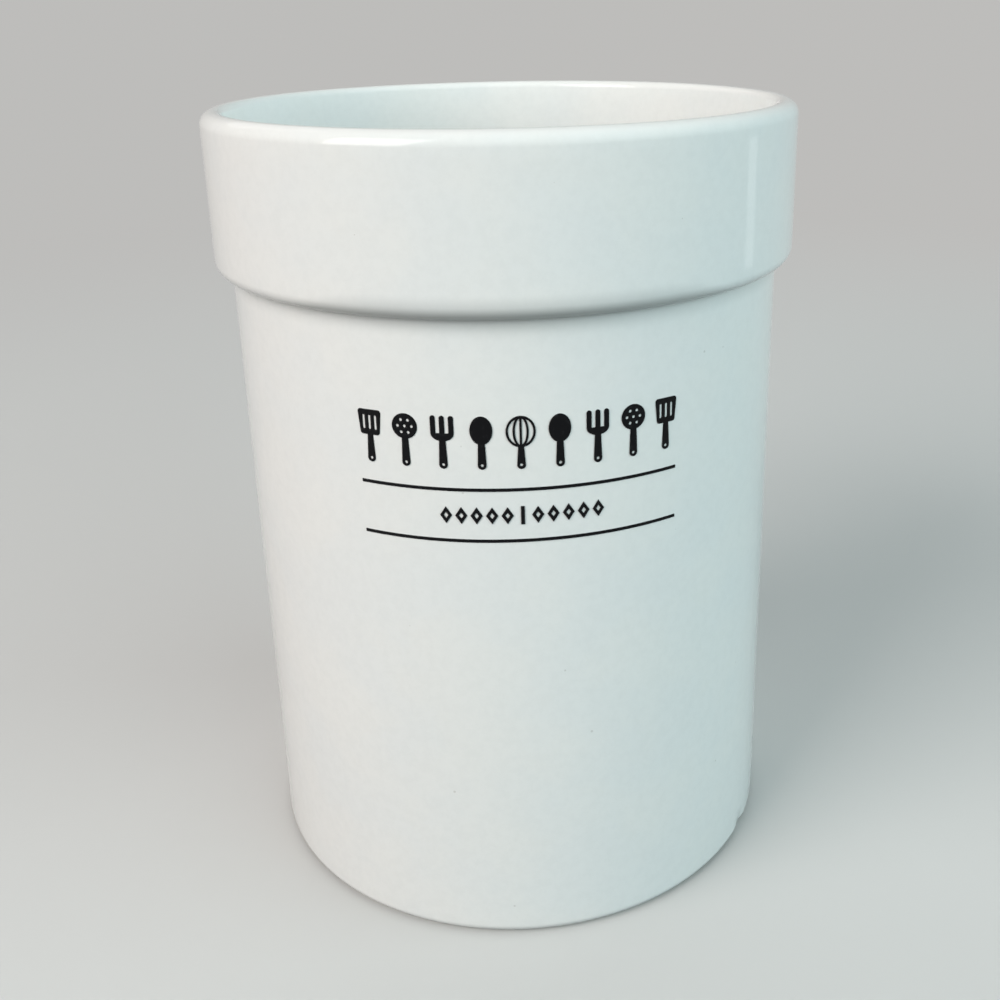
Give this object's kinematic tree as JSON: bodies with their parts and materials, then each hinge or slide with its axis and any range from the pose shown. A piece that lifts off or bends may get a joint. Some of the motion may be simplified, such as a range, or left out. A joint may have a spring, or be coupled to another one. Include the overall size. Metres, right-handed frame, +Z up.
{
  "type": "utensil crock",
  "caption": "Round white glazed stoneware crock for kitchen utensils, with a wide collar, a rounded lip and a black print of utensils between thin rules.",
  "frame": {"origin": "middle of the foot, on the surface that the crock stands on", "axes": "+Z up along the crock's axis, the print faces -Y, +X is to the right of someone who looks at the print"},
  "size_m": [0.132, 0.132, 0.178],
  "materials": {
    "stoneware": "bare fired clay, matt",
    "white_glaze": "glossy white glaze",
    "black_print": "fired black enamel, semi-gloss"
  },
  "bodies": {
    "root": {"glaze_base": "white_glaze", "glaze_coat": "white_glaze", "print_divider": "black_print", "print_fork_left": "black_print", "print_fork_right": "black_print", "print_lozenge_left_1": "black_print", "print_lozenge_left_2": "black_print", "print_lozenge_left_3": "black_print", "print_lozenge_left_4": "black_print", "print_lozenge_left_5": "black_print", "print_lozenge_right_1": "black_print", "print_lozenge_right_2": "black_print", "print_lozenge_right_3": "black_print", "print_lozenge_right_4": "black_print", "print_lozenge_right_5": "black_print", "print_rule_lower": "black_print", "print_rule_upper": "black_print", "print_skimmer_left": "black_print", "print_skimmer_right": "black_print", "print_spoon_left": "black_print", "print_spoon_right": "black_print", "print_turner_left": "black_print", "print_turner_right": "black_print", "print_whisk": "black_print", "stoneware_body": "stoneware"}
  },
  "joints": []
}
